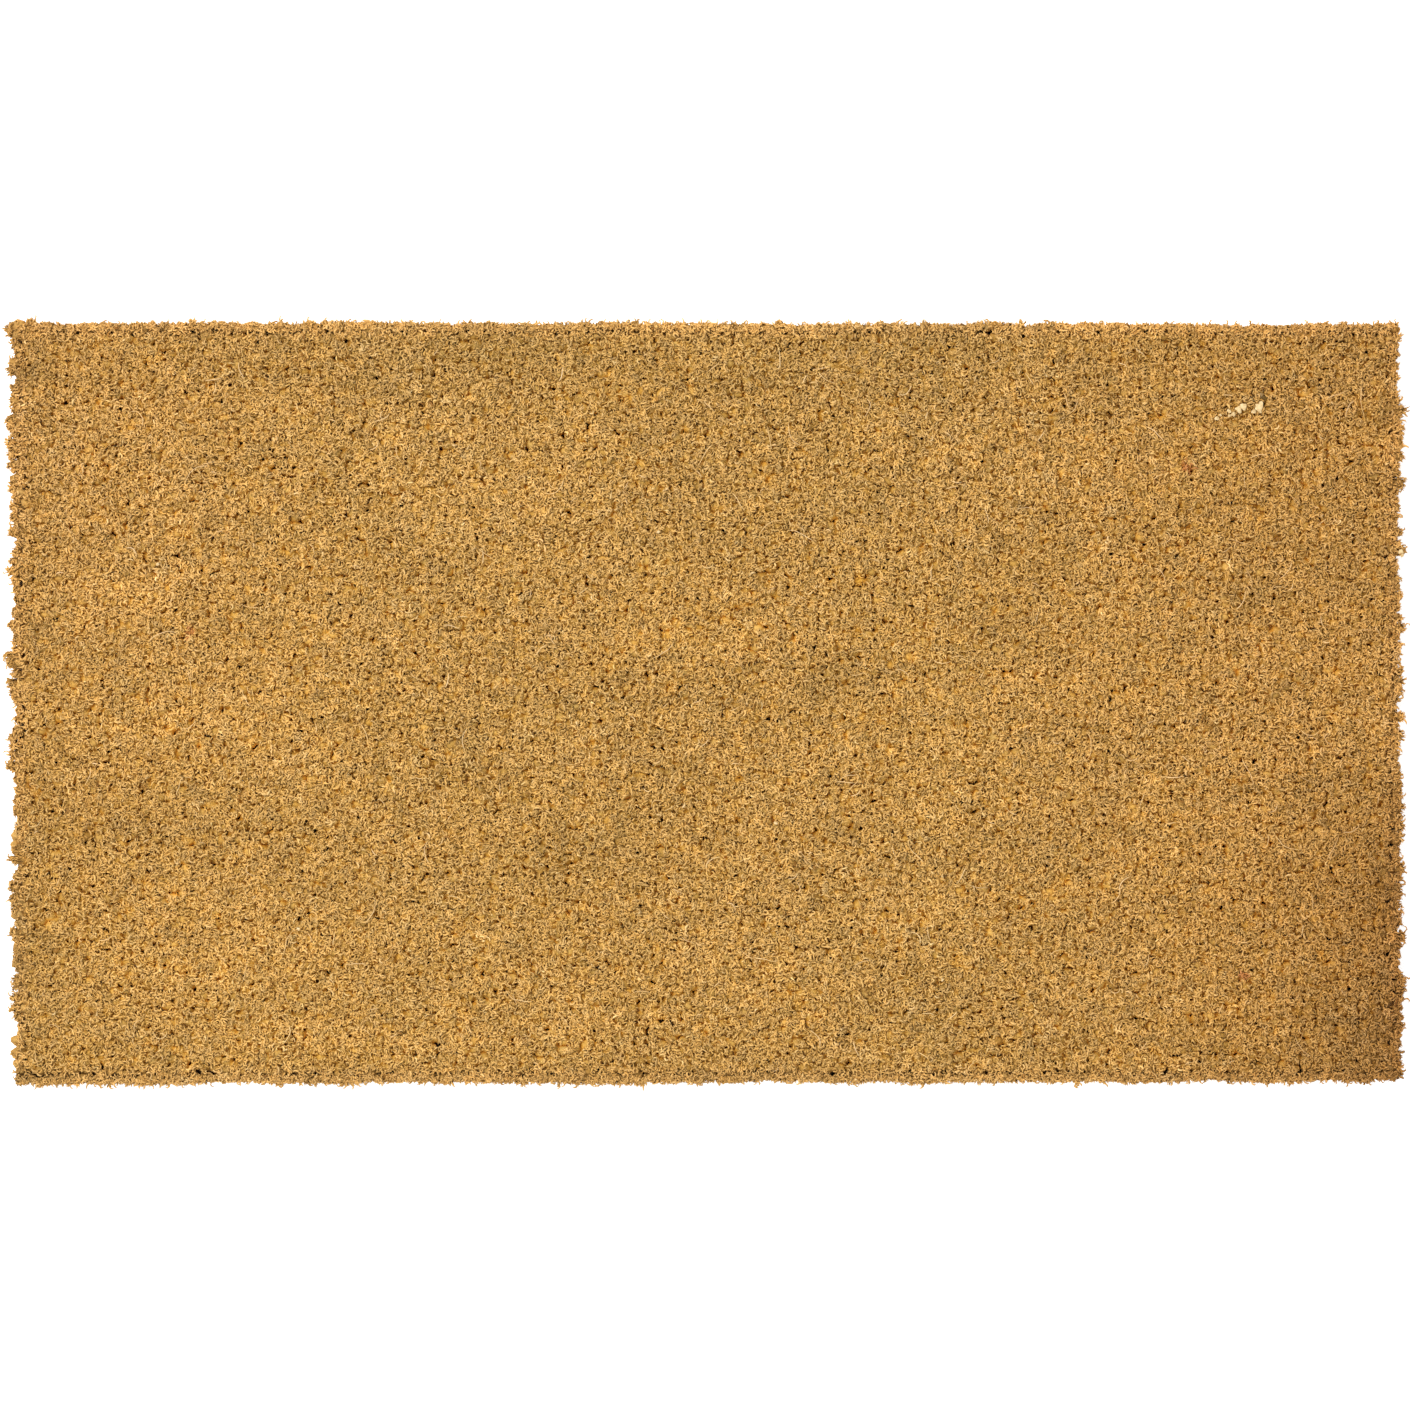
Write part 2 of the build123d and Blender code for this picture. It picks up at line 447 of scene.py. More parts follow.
def coir(name):
    """Coir fibre. The fibre attribute holds (shade 0 to 1, place from root 0 to tip 1, tone of the tuft -1 to 1)."""
    mat, nt, bsdf = nodes_of(name)
    at = add(nt, "ShaderNodeAttribute", attribute_name="fibre")
    sep = add(nt, "ShaderNodeSeparateXYZ")
    nt.links.new(at.outputs["Vector"], sep.inputs[0])
    shade, place, tone_ = sep.outputs
    coord = add(nt, "ShaderNodeTexCoord").outputs["Object"]
    # single fibres run from dark husk brown through gold to bleached straw
    col = ramp(nt, shade, [
        (0.00, (0.210, 0.092, 0.015)),
        (0.15, (0.330, 0.174, 0.036)),
        (0.35, (0.435, 0.253, 0.067)),
        (0.52, (0.498, 0.304, 0.090)),
        (0.75, (0.538, 0.347, 0.121)),
        (0.92, (0.570, 0.380, 0.137)),
        (1.00, (0.635, 0.440, 0.170)),
    ])
    # darker and more saturated towards the root: painted shade and painted bounce colour deep in the pile. The dip from
    # 0.72 to 0.80, at the tops of the yarn bodies, is painted shade that keeps those lit body tops as dark as the gaps
    # they sit in
    root = ramp(nt, place, [(0.0, (0.86, 0.75, 0.56)), (0.45, (0.96, 0.88, 0.72)), (0.72, (0.80, 0.81, 0.78)), (0.80, (0.75, 0.79, 0.78)), (0.87, (1.0, 0.99, 0.97)), (1.0, (1.01, 1.0, 1.0))])
    col = mix_colour(nt, "MULTIPLY", 1.0, col, root)
    # the worn tips are bleached, and the colour deepens quickly below them. Part of this is painted light: the palest,
    # bluest tips stand in for sheen on the lit top, and the redder, more saturated colour low in the pile stands in for
    # warm light bounced between the fibres in the shade down there
    xyz = add(nt, "ShaderNodeSeparateXYZ")
    nt.links.new(coord, xyz.inputs[0])
    level = maths(nt, "MULTIPLY_ADD", xyz.outputs[2], 160.0, -1.48, clamp=True)       # 0 at 9.25 mm, 1 at 15.5 mm
    bleach_sheen_and_bounce = ramp(nt, level, [(0.0, (1.42, 1.09, 0.34)), (0.30, (1.28, 1.07, 0.48)), (0.50, (1.085, 1.02, 0.82)), (0.80, (0.995, 0.995, 1.11)), (1.0, (0.965, 1.03, 1.64))])
    # on the cut edge the fibre is paler along its whole length: there the painted bounce colour low in the pile is much
    # weaker, and the tips keep their painted sheen
    edge_weaker_bounce = ramp(nt, level, [(0.0, (0.90, 0.80, 0.64)), (0.36, (0.98, 0.91, 0.80)), (0.58, (1.07, 1.00, 0.94)), (0.80, (1.13, 1.09, 1.16)), (1.0, (1.11, 1.13, 1.66))])
    in_x = maths(nt, "MULTIPLY_ADD", maths(nt, "ABSOLUTE", xyz.outputs[0]), -250.0, 74.2, clamp=True)
    in_y = maths(nt, "MULTIPLY_ADD", maths(nt, "ABSOLUTE", xyz.outputs[1]), -250.0, 40.2, clamp=True)
    bleach_sheen_and_bounce = mix_colour(nt, "MIX", maths(nt, "MULTIPLY", in_x, in_y), edge_weaker_bounce, bleach_sheen_and_bounce)
    col = mix_colour(nt, "MULTIPLY", 1.0, col, bleach_sheen_and_bounce)
    # light and dark tufts
    gain = maths(nt, "MULTIPLY_ADD", maths(nt, "MAXIMUM", maths(nt, "MINIMUM", tone_, 2.4), -2.4), 0.08, 1.0)
    # drifts a few centimetres across, and the broad shading of the batch
    n1 = add(nt, "ShaderNodeTexNoise")
    n1.inputs["Scale"].default_value = 30.0
    n1.inputs["Detail"].default_value = 3.0
    stretch = add(nt, "ShaderNodeMapping")
    stretch.inputs["Scale"].default_value = (0.40, 1.0, 1.0)
    nt.links.new(coord, stretch.inputs["Vector"])
    nt.links.new(stretch.outputs[0], n1.inputs["Vector"])
    drift = maths(nt, "MULTIPLY_ADD", n1.outputs["Fac"], 0.38, 0.81)
    gain = maths(nt, "MULTIPLY", gain, drift)
    # and clumps of a few tufts that wore alike
    n3 = add(nt, "ShaderNodeTexNoise")
    n3.inputs["Scale"].default_value = 230.0
    n3.inputs["Detail"].default_value = 1.0
    nt.links.new(coord, n3.inputs["Vector"])
    gain = maths(nt, "MULTIPLY", gain, maths(nt, "MULTIPLY_ADD", n3.outputs["Fac"], 0.40, 0.80))
    # darker and redder towards the right-hand end, most of all at its lower corner
    end = maths(nt, "MULTIPLY_ADD", xyz.outputs[0], 8.0, -1.4, clamp=True)
    end = maths(nt, "MULTIPLY", end, end)
    low_ = maths(nt, "MULTIPLY_ADD", xyz.outputs[1], -14.0, -0.2, clamp=True)
    right_end_dark = maths(nt, "MULTIPLY", end, maths(nt, "MULTIPLY_ADD", low_, 0.74, 0.26))
    # painted shade: darker along the top end, where the light falls off
    head = maths(nt, "MULTIPLY_ADD", xyz.outputs[1], 22.0, -2.6, clamp=True)
    gain = maths(nt, "MULTIPLY", gain, maths(nt, "MULTIPLY_ADD", head, -0.09, 1.0))
    # painted shade: darker still at the top end's left-hand corner
    corner = maths(nt, "MULTIPLY", head, maths(nt, "MULTIPLY_ADD", xyz.outputs[0], -8.0, -1.0, clamp=True))
    gain = maths(nt, "MULTIPLY", gain, maths(nt, "MULTIPLY_ADD", corner, -0.05, 1.0))
    # painted light: lighter towards the lower left, left of centre
    foot = maths(nt, "MULTIPLY", maths(nt, "MULTIPLY_ADD", xyz.outputs[1], -22.0, -1.6, clamp=True), maths(nt, "MULTIPLY_ADD", maths(nt, "ABSOLUTE", maths(nt, "ADD", xyz.outputs[0], 0.14)), -9.0, 1.5, clamp=True))
    gain = maths(nt, "MULTIPLY", gain, maths(nt, "MULTIPLY_ADD", foot, 0.04, 1.0))
    # painted light along the top edge, painted shade along the bottom edge
    lit = maths(nt, "MULTIPLY_ADD", xyz.outputs[1], 250.0, -39.3, clamp=True)
    gain = maths(nt, "MULTIPLY", gain, maths(nt, "MULTIPLY_ADD", lit, 0.09, 1.0))
    unlit = maths(nt, "MULTIPLY_ADD", xyz.outputs[1], -250.0, -39.3, clamp=True)
    gain = maths(nt, "MULTIPLY", gain, maths(nt, "MULTIPLY_ADD", unlit, -0.10, 1.0))
    # darker along the left-hand edge
    left_ = maths(nt, "MULTIPLY_ADD", xyz.outputs[0], -40.0, -10.9, clamp=True)
    gain = maths(nt, "MULTIPLY", gain, maths(nt, "MULTIPLY_ADD", left_, -0.11, 1.0))
    # painted light: a touch lighter over the lower-left part
    painted_light_lower_left = maths(nt, "MULTIPLY", maths(nt, "MULTIPLY_ADD", xyz.outputs[0], -3.2, 0.45, clamp=True), maths(nt, "MULTIPLY_ADD", xyz.outputs[1], -6.0, 0.40, clamp=True))
    gain = maths(nt, "MULTIPLY", gain, maths(nt, "MULTIPLY_ADD", painted_light_lower_left, 0.01, 1.0))
    # mottling on the fibre itself
    along = add(nt, "ShaderNodeMapping")
    along.inputs["Scale"].default_value = (1.0, 1.0, 0.06)
    nt.links.new(coord, along.inputs["Vector"])
    n2 = add(nt, "ShaderNodeTexNoise")
    n2.inputs["Scale"].default_value = 1500.0
    n2.inputs["Detail"].default_value = 2.0
    nt.links.new(along.outputs[0], n2.inputs["Vector"])
    mottle = maths(nt, "MULTIPLY_ADD", n2.outputs["Fac"], maths(nt, "MULTIPLY_ADD", place, -0.98, 1.2), maths(nt, "MULTIPLY_ADD", place, 0.49, 0.40))
    gain = maths(nt, "MULTIPLY", gain, mottle)
    comb = add(nt, "ShaderNodeCombineXYZ")
    for i in range(3):
        nt.links.new(gain, comb.inputs[i])
    col = mix_colour(nt, "MULTIPLY", 1.0, col, comb.outputs[0])
    warm = maths(nt, "MULTIPLY_ADD", xyz.outputs[0], 7.0, -0.7, clamp=True)
    col = mix_colour(nt, "MULTIPLY", warm, col, (1.045, 1.0, 0.96, 1.0))
    ruddy = maths(nt, "MULTIPLY", maths(nt, "MULTIPLY_ADD", xyz.outputs[0], -6.0, -0.9, clamp=True), maths(nt, "MULTIPLY_ADD", xyz.outputs[1], 3.0, 0.55, clamp=True))
    col = mix_colour(nt, "MULTIPLY", ruddy, col, (1.035, 0.985, 0.975, 1.0))
    col = mix_colour(nt, "MULTIPLY", right_end_dark, col, (0.66, 0.585, 0.53, 1.0))
    # odd tufts of greyed or reddish husk carry a tone beyond the usual range
    grey = maths(nt, "ADD", tone_, -4.0, clamp=True)
    red = maths(nt, "MULTIPLY_ADD", tone_, -1.0, -4.0, clamp=True)
    col = mix_colour(nt, "MULTIPLY", grey, col, (0.40, 0.46, 0.66, 1.0))
    col = mix_colour(nt, "MULTIPLY", red, col, (1.02, 0.74, 0.72, 1.0))
    nt.links.new(col, bsdf.inputs["Base Color"])
    # waxy fibre: a little smoother where it is pale
    rough = maths(nt, "MULTIPLY_ADD", shade, -0.16, 0.80)
    rough = maths(nt, "MULTIPLY_ADD", n2.outputs["Fac"], 0.12, rough)
    nt.links.new(rough, bsdf.inputs["Roughness"])
    bsdf.inputs["Specular IOR Level"].default_value = 0.16
    bsdf.inputs["Sheen Weight"].default_value = 0.05
    bsdf.inputs["Sheen Roughness"].default_value = 0.45
    bsdf.inputs["Sheen Tint"].default_value = (1.0, 0.86, 0.62, 1.0)
    return mat


def pvc(name):
    """Dark flexible vinyl, matte, with a fine grain."""
    mat, nt, bsdf = nodes_of(name)
    coord = add(nt, "ShaderNodeTexCoord").outputs["Object"]
    big = add(nt, "ShaderNodeTexNoise")
    big.inputs["Scale"].default_value = 14.0
    big.inputs["Detail"].default_value = 4.0
    nt.links.new(coord, big.inputs["Vector"])
    col = ramp(nt, big.outputs["Fac"], [(0.30, (0.0150, 0.0125, 0.0105)), (0.55, (0.0215, 0.0180, 0.0152)), (0.75, (0.0310, 0.0262, 0.0220))])
    specks = add(nt, "ShaderNodeTexVoronoi")
    specks.inputs["Scale"].default_value = 520.0
    nt.links.new(coord, specks.inputs["Vector"])
    dots = ramp(nt, specks.outputs["Distance"], [(0.0, (1.9, 1.7, 1.4)), (0.16, (1.0, 1.0, 1.0)), (1.0, (1.0, 1.0, 1.0))])
    col = mix_colour(nt, "MULTIPLY", 1.0, col, dots)
    # coir dust has settled on the upper face, between the rows
    xyz = add(nt, "ShaderNodeSeparateXYZ")
    nt.links.new(coord, xyz.inputs[0])
    dusty = maths(nt, "MULTIPLY_ADD", xyz.outputs[2], 4000.0, -6.6, clamp=True)
    dusty = maths(nt, "MULTIPLY", dusty, maths(nt, "MULTIPLY_ADD", big.outputs["Fac"], 0.5, 0.55, clamp=True))
    col = mix_colour(nt, "MIX", dusty, col, (0.200, 0.100, 0.030, 1.0))
    nt.links.new(col, bsdf.inputs["Base Color"])
    grain = add(nt, "ShaderNodeTexNoise")
    grain.inputs["Scale"].default_value = 1500.0
    grain.inputs["Detail"].default_value = 3.0
    nt.links.new(coord, grain.inputs["Vector"])
    rough = maths(nt, "MULTIPLY_ADD", grain.outputs["Fac"], 0.20, 0.52)
    nt.links.new(rough, bsdf.inputs["Roughness"])
    bump = add(nt, "ShaderNodeBump")
    bump.inputs["Strength"].default_value = 0.35
    bump.inputs["Distance"].default_value = 0.00012
    nt.links.new(grain.outputs["Fac"], bump.inputs["Height"])
    nt.links.new(bump.outputs["Normal"], bsdf.inputs["Normal"])
    bsdf.inputs["Specular IOR Level"].default_value = 0.4
    return mat


COIR = coir("coir_fibre")
PVC = pvc("dark_vinyl")


# ---------------------------------------------------------------- the pile
def shades(m, tuft_cast):
    """Each fibre's shade, 0 dark husk to 1 bleached straw. Some tufts are of darker or paler stock."""
    s = np.clip(RNG.normal(0.50, 0.095, m), 0.06, 0.92)
    r = RNG.random(m)
    s = np.where(r > 0.985, RNG.uniform(0.88, 1.0, m), s)
    s = np.where(r < 0.020, RNG.uniform(0.0, 0.20, m), s)
    s = np.where(tuft_cast < 0.012, s * 0.60, s)                  # dark husk tufts
    s = np.where(tuft_cast > 0.985, np.clip(s + 0.28, 0, 1), s)   # pale tufts
    return s


LONG, CURLS, SHORT = 3, 6, 13


def build_pile(i, sel):
    """The piece for node i + 1: every tuft in sel as a yarn body and its loose fibres."""
    f = feet[sel]
    le, h, R, tw = lean[sel], height[sel], radius[sel], turn[sel]
    n = len(sel)
    ctr = out_of_square(f)
    edge = edge_ness[sel]
    parts = []

    # the body of the yarn, from its foot in the vinyl to where it opens
    sides = 6
    levels = np.array([1.7 * MM, 6.5 * MM, 11.0 * MM, 12.4 * MM])
    frac = np.array([0.0, 0.15, 0.60, 0.85])
    width = np.array([1.45, 2.35, 2.70, 1.78]) * MM
    slim = 1 - 0.22 * np.clip(edge * 1.6, 0, 1)[:, None]          # at the cut edge the yarn shows as single fibres, round a thinner core
    verts = np.empty((n, 4 * sides + 1, 3))
    scale = (h / TOP)[:, None]
    for j in range(4):
        a = RNG.uniform(-0.25, 0.25, (n, sides)) + np.arange(sides)[None] * 2 * math.pi / sides + (tw * j / 3)[:, None]
        r = width[j] * RNG.uniform(0.86, 1.10, (n, sides)) * (R[:, None] / (2.42 * MM) if j else 1.0) * slim
        z = 1.7 * MM + (levels[j] - 1.7 * MM) * scale
        verts[:, j * sides:(j + 1) * sides, 0] = ctr[:, 0:1] + le[:, 0:1] * frac[j] + 1.12 * r * np.cos(a)
        verts[:, j * sides:(j + 1) * sides, 1] = ctr[:, 1:2] + le[:, 1:2] * frac[j] + 0.95 * r * np.sin(a)
        verts[:, j * sides:(j + 1) * sides, 2] = z + (RNG.uniform(-0.5, 0.5, (n, sides)) * MM if j > 1 else 0)
    verts[:, -1, :2] = ctr + le * 0.8
    verts[:, -1, 2] = h - 1.95 * MM
    tris = []
    for j in range(3):
        for s in range(sides):
            a, b = j * sides + s, j * sides + (s + 1) % sides
            tris += [(a, b, b + sides), (a, b + sides, a + sides)]
    for s in range(sides):
        tris.append((3 * sides + s, 3 * sides + (s + 1) % sides, 4 * sides))
    for s in range(1, sides - 1):
        tris.append((0, s + 1, s))
    # the body's tip falls in the painted-shade dip of the coir root ramp, and its top ring just below it
    place = np.concatenate([np.full(sides, x) for x in (0.0, 0.30, 0.55, 0.70)] + [[0.78]])
    around = np.concatenate([np.arange(sides) / (sides - 1)] * 4 + [[0.5]])
    attr = np.empty(verts.shape)
    attr[..., 0] = np.clip(RNG.normal(0.48, 0.10, (n, 1)), 0.1, 0.9) + RNG.uniform(-0.12, 0.12, (n, verts.shape[1]))
    attr[..., 1] = place[None]
    attr[..., 2] = tone[sel][:, None]
    parts.append((verts, np.array(tris), attr, place, around))

    # fibres that run the whole height
    lows = low_end[sel]

    # each cut end opens into three small knots of fibre
    knot_at = RNG.uniform(0, 2 * math.pi, (n, 1)) + np.arange(3)[None] * 2 * math.pi / 3 + RNG.normal(0, 0.35, (n, 3))
    knot_out = R[:, None] * RNG.normal(0.58, 0.14, (n, 3))
    knots = np.stack([knot_out * np.cos(knot_at), knot_out * np.sin(knot_at), np.abs(RNG.normal(0, 0.36 * MM, (n, 3))), R[:, None] * RNG.normal(0.58, 0.08, (n, 3))], -1)

    def spread(count, who, fewer=None):
        """count fibres for every tuft in who, or `fewer` for the low ends of yarn."""
        idx = np.repeat(who, np.where(lows[who], count if fewer is None else fewer, count))
        m = len(idx)
        return idx, m, RNG.uniform(0, 2 * math.pi, m), np.sqrt(RNG.random(m))

    everyone = np.arange(n)
    outer = everyone[edge > 0.25]
    idx, m, th, rho = spread(LONG, everyone, 0)
    if len(outer):
        i2, m2, t2, r2 = spread(26, outer)
        way = outward[sel][i2]
        t2 = np.arctan2(way[:, 1], way[:, 0]) + RNG.uniform(-1, 1, m2) * math.radians(112)
        idx, th, rho = np.concatenate([idx, i2]), np.concatenate([th, t2]), np.concatenate([rho, np.sqrt(0.50 + 0.50 * r2 ** 2)])
        m += m2
    rim = np.arange(m) >= m - (m2 if len(outer) else 0)
    c, l_, hh, rr, t_ = ctr[idx], le[idx], h[idx], R[idx], tw[idx]
    ed = edge[idx]
    t_ = np.where(rim, 0.18 * t_, t_)                             # and runs nearly straight there

    def at(radial, angle, follow, z, knot=None, part=1.0):
        p = np.empty((m, 3))
        p[:, 0] = c[:, 0] + l_[:, 0] * follow + radial * np.cos(angle)
        p[:, 1] = c[:, 1] + l_[:, 1] * follow + radial * np.sin(angle)
        p[:, 2] = z
        if knot is not None:
            p[:, :2] += knot[:, :2] * part
        return p

    dome = 0.8 * MM * rho ** 2
    p0 = at(1.35 * MM * rho, th, 0.0, np.full(m, 1.6 * MM))
    p1 = at((1.75 + 0.35 * rho) * MM * rho + RNG.normal(0, 0.12 * MM, m), th + 0.5 * t_, 0.30, hh * 0.60 + RNG.normal(0, 0.6 * MM, m))
    p2 = at(rr * (0.30 + 0.62 * rho) + RNG.normal(0, 0.20 * MM, m), th + t_, 0.85, hh - 1.15 * MM - dome + RNG.normal(0, 0.35 * MM, m))
    curl = th + t_ + RNG.normal(0, 1.25, m)
    reach = RNG.uniform(0.5, 2.1, m) * MM * (1 - 0.45 * np.clip(ed * 1.6, 0, 1))
    p3 = p2.copy()
    p3[:, 0] += reach * np.cos(curl) + l_[:, 0] * 0.15
    p3[:, 1] += reach * np.sin(curl) + l_[:, 1] * 0.15
    p3[:, 2] = np.minimum(p2[:, 2] + RNG.uniform(0.1, 1.6, m) * MM, hh + RNG.normal(0.1, 0.25, m) * MM)
    path = np.stack([p0, p1, p2, p3], 1)
    thick = np.where(rim, RNG.uniform(0.17, 0.30, m), RNG.uniform(0.15, 0.23, m)) * MM
    rad = thick[:, None] * np.array([[0.9, 1.0, 1.05]])
    v, t, pl = tubes(path, rad, 3)
    pl_real = np.where(pl == 1.0, 1.0, np.array([0.0, 0.45, 0.86])[np.minimum((pl * 3).round().astype(int), 2)])
    attr = np.empty(v.shape)
    attr[..., 0] = shades(m, cast[sel][idx])[:, None]
    attr[..., 1] = pl_real[None]
    attr[..., 2] = tone[sel][idx][:, None]
    ar = np.concatenate([np.array([0.0, 0.5, 1.0])] * 3 + [[0.5]])
    parts.append((v, t, attr, pl, ar))

    # ends that come over the top and curl back on themselves
    idx, m, th, rho = spread(CURLS, everyone, 3)
    c, l_, hh, rr, t_ = ctr[idx], le[idx], h[idx], R[idx], tw[idx]
    dome = 0.80 * MM * rho ** 2
    k_ = knots[idx, RNG.integers(0, 3, m)]
    p0 = at(0.75 * MM * rho, th, 0.65, hh - 4.0 * MM, k_, 0.6)
    p1 = at(k_[:, 3] * (0.05 + 0.78 * rho), th, 0.95, hh - 0.80 * MM - k_[:, 2] - dome + RNG.normal(0, 0.20 * MM, m), k_)
    head = th + RNG.uniform(-math.pi, math.pi, m)
    bend = RNG.normal(0.95, 0.35, m) * np.where(RNG.random(m) < 0.5, -1, 1)
    seg = RNG.uniform(0.65, 1.25, m) * MM
    lift = RNG.uniform(0.15, 0.60, m) * MM
    pts, q = [p0, p1], p1
    for k, dz in enumerate((1.0, 0.25, -0.9)):
        q = q.copy()
        q[:, 0] += seg * np.cos(head + k * bend)
        q[:, 1] += seg * np.sin(head + k * bend)
        q[:, 2] = np.minimum(q[:, 2] + lift * dz + RNG.normal(0, 0.08 * MM, m), hh + 0.30 * MM)
        pts.append(q)
    path = np.stack(pts, 1)
    thick = RNG.uniform(0.28, 0.47, m) * MM
    rad = thick[:, None] * np.array([[0.9, 1.05, 1.10, 1.0]])
    v, t, pl = tubes(path, rad, 3)
    attr = np.empty(v.shape)
    attr[..., 0] = shades(m, cast[sel][idx])[:, None]
    attr[..., 1] = np.where(pl == 0, 0.60, 0.86 + 0.14 * pl)[None]
    attr[..., 2] = tone[sel][idx][:, None]
    ar = np.concatenate([np.array([0.0, 0.5, 1.0])] * 4 + [[0.5]])
    parts.append((v, t, attr, pl, ar))

    # cut ends that open over the top
    idx, m, th, rho = spread(SHORT, everyone, 8)
    c, l_, hh, rr, t_ = ctr[idx], le[idx], h[idx], R[idx], tw[idx]
    dome = 0.95 * MM * rho ** 2.2
    k_ = knots[idx, RNG.integers(0, 3, m)]
    p0 = at(0.85 * MM * rho, th, 0.62, hh - 4.4 * MM - dome * 0.5, k_, 0.6)
    p1 = at(k_[:, 3] * (0.06 + 0.98 * rho) + RNG.normal(0, 0.20 * MM, m), th + RNG.normal(0, 0.30, m), 0.92, hh - 0.72 * MM - k_[:, 2] - dome + RNG.normal(0, 0.32 * MM, m), k_)
    curl = th + RNG.uniform(-math.pi, math.pi, m)
    reach = RNG.gamma(5.0, 0.31, m).clip(0.5, 3.2) * MM * (1 - 0.45 * np.clip(edge[idx] * 1.6, 0, 1))
    p2 = p1.copy()
    p2[:, 0] += reach * np.cos(curl) + l_[:, 0] * 0.08
    p2[:, 1] += reach * np.sin(curl) + l_[:, 1] * 0.08
    p2[:, 2] = p1[:, 2] + RNG.normal(0.20, 0.42, m) * MM
    p2[:, 2] = np.minimum(p2[:, 2], hh + 0.35 * MM)
    path = np.stack([p0, p1, p2], 1)
    thick = RNG.uniform(0.31, 0.50, m) * MM
    rad = thick[:, None] * np.array([[0.9, 1.2]])
    v, t, pl = tubes(path, rad, 3)
    attr = np.empty(v.shape)
    attr[..., 0] = shades(m, cast[sel][idx])[:, None]
    attr[..., 1] = np.where(pl == 0, 0.60, np.where(pl == 1.0, 1.0, 0.90))[None]
    attr[..., 2] = tone[sel][idx][:, None]
    ar = np.concatenate([np.array([0.0, 0.5, 1.0])] * 2 + [[0.5]])
    parts.append((v, t, attr, pl, ar))
    return make_mesh("coir_rows_%02d" % (i + 1), parts, COIR)


for i in range(26):
    sel = np.nonzero(node_of == i)[0]
    ob = build_pile(i, sel)
    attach(ob, "root")
    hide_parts("tuft_rows_%02d" % (i + 1))


